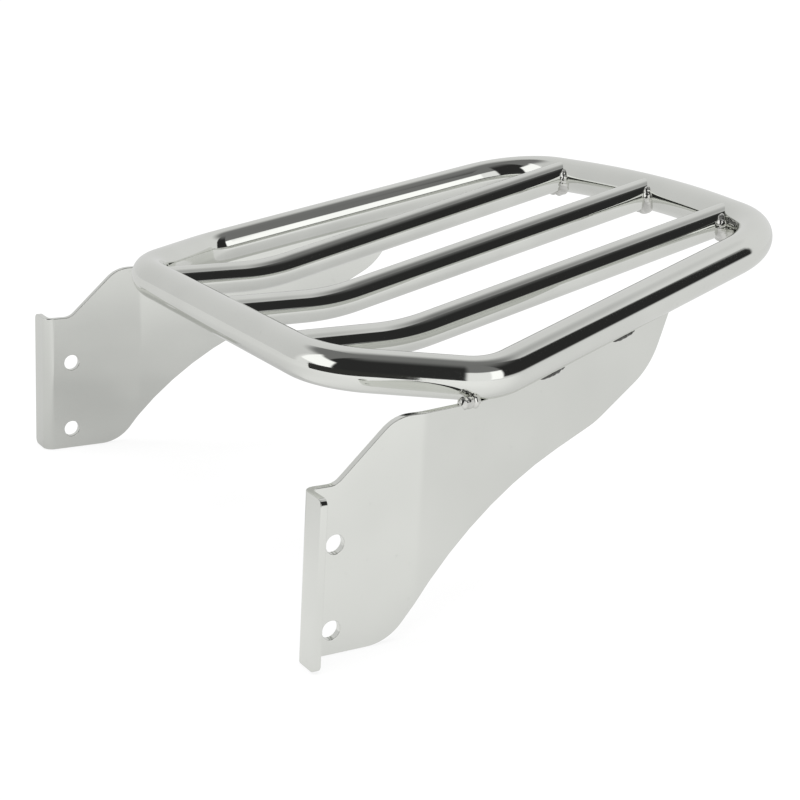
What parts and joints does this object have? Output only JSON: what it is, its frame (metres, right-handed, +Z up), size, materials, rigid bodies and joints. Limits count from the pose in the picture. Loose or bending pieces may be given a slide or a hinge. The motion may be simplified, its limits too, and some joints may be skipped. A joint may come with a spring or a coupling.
{
  "type": "motorcycle luggage rack",
  "caption": "Welded chrome luggage rack for the rear of a motorcycle: a bent tube loop with rods along its deck, on folded side plates that bolt beside the rear fender.",
  "frame": {"origin": "mid-width, on the centre of the pattern that the bolt holes of both side plates share", "axes": "+Z up, -Y to the front of the motorcycle, +X to the rider's left"},
  "size_m": [0.319, 0.3035, 0.1654],
  "materials": {
    "chrome": "bright chrome plating, polished",
    "weld": "chrome plated over rippled weld beads"
  },
  "bodies": {
    "root": {"outer_loop": "chrome", "rod_left": "chrome", "rod_centre": "chrome", "rod_right": "chrome", "side_plate_left": "chrome", "side_plate_right": "chrome", "weld_rod_front_left": "weld", "weld_rod_front_centre": "weld", "weld_rod_front_right": "weld", "weld_rod_rear_left": "weld", "weld_rod_rear_centre": "weld", "weld_rod_rear_right": "weld", "weld_plate_front_left": "weld", "weld_plate_front_right": "weld", "weld_stitch_fore_left": "weld", "weld_stitch_fore_right": "weld", "weld_stitch_aft_left": "weld", "weld_stitch_aft_right": "weld"}
  },
  "joints": []
}
